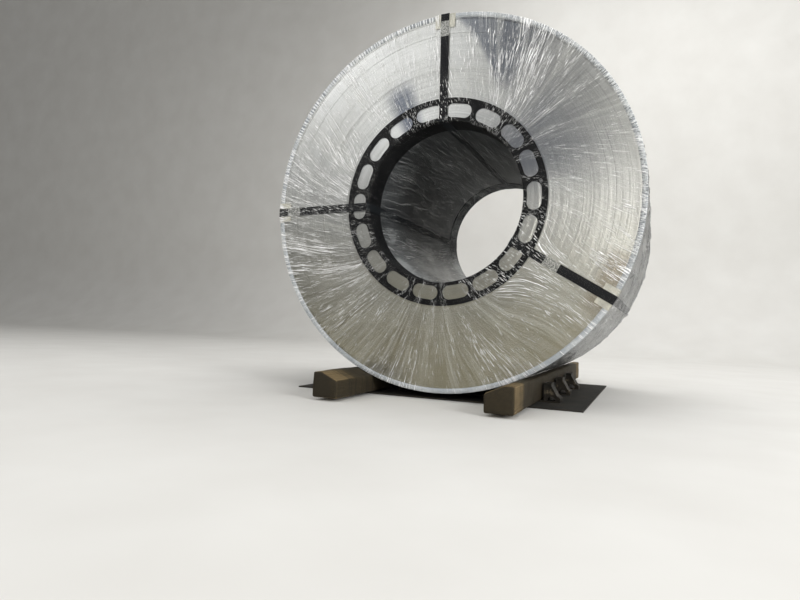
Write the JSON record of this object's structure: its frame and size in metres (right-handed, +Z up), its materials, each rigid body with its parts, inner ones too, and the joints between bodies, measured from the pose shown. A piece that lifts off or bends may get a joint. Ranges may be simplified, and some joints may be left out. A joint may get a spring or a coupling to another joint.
{
  "type": "wrapped steel coil",
  "caption": "Wide roll of bright steel strip, strapped through its eye and wrapped in clear film, lying eye to the front on bevelled timbers in steel racks over a rubber mat.",
  "frame": {"origin": "middle of the footprint at floor level, under the middle of the coil", "axes": "+Z up, +Y along the axis of the coil and away from the viewer, +X to the viewer's right"},
  "size_m": [1.4226, 1.7, 1.4483],
  "materials": {
    "steel": "bright cold-rolled, fine turns on the ends",
    "eye_ring": "black, pressed with windows",
    "rim_ring": "thin pale sheet, crimped",
    "strap": "black waxed steel strap",
    "seal": "galvanised, crimped",
    "corner_plate": "pale sheet",
    "film": "clear stretch film, wrinkled",
    "timber": "weathered sawn hardwood",
    "rack": "worn dark steel",
    "mat": "dusty rubber"
  },
  "bodies": {
    "root": {"steel_coil": "steel", "eye_ring_front": "eye_ring", "eye_ring_rear": "eye_ring", "rim_ring_front": "rim_ring", "rim_ring_rear": "rim_ring", "strap_top": "strap", "strap_left": "strap", "strap_right": "strap", "seal_top": "seal", "seal_left": "seal", "seal_right": "seal", "corner_plate_front_top": "corner_plate", "corner_plate_rear_top": "corner_plate", "corner_plate_front_left": "corner_plate", "corner_plate_rear_left": "corner_plate", "corner_plate_front_right": "corner_plate", "corner_plate_rear_right": "corner_plate", "stretch_film": "film", "timber_left": "timber", "timber_right": "timber", "rack_1": "rack", "rack_2": "rack", "rack_3": "rack", "friction_mat": "mat"}
  },
  "joints": []
}
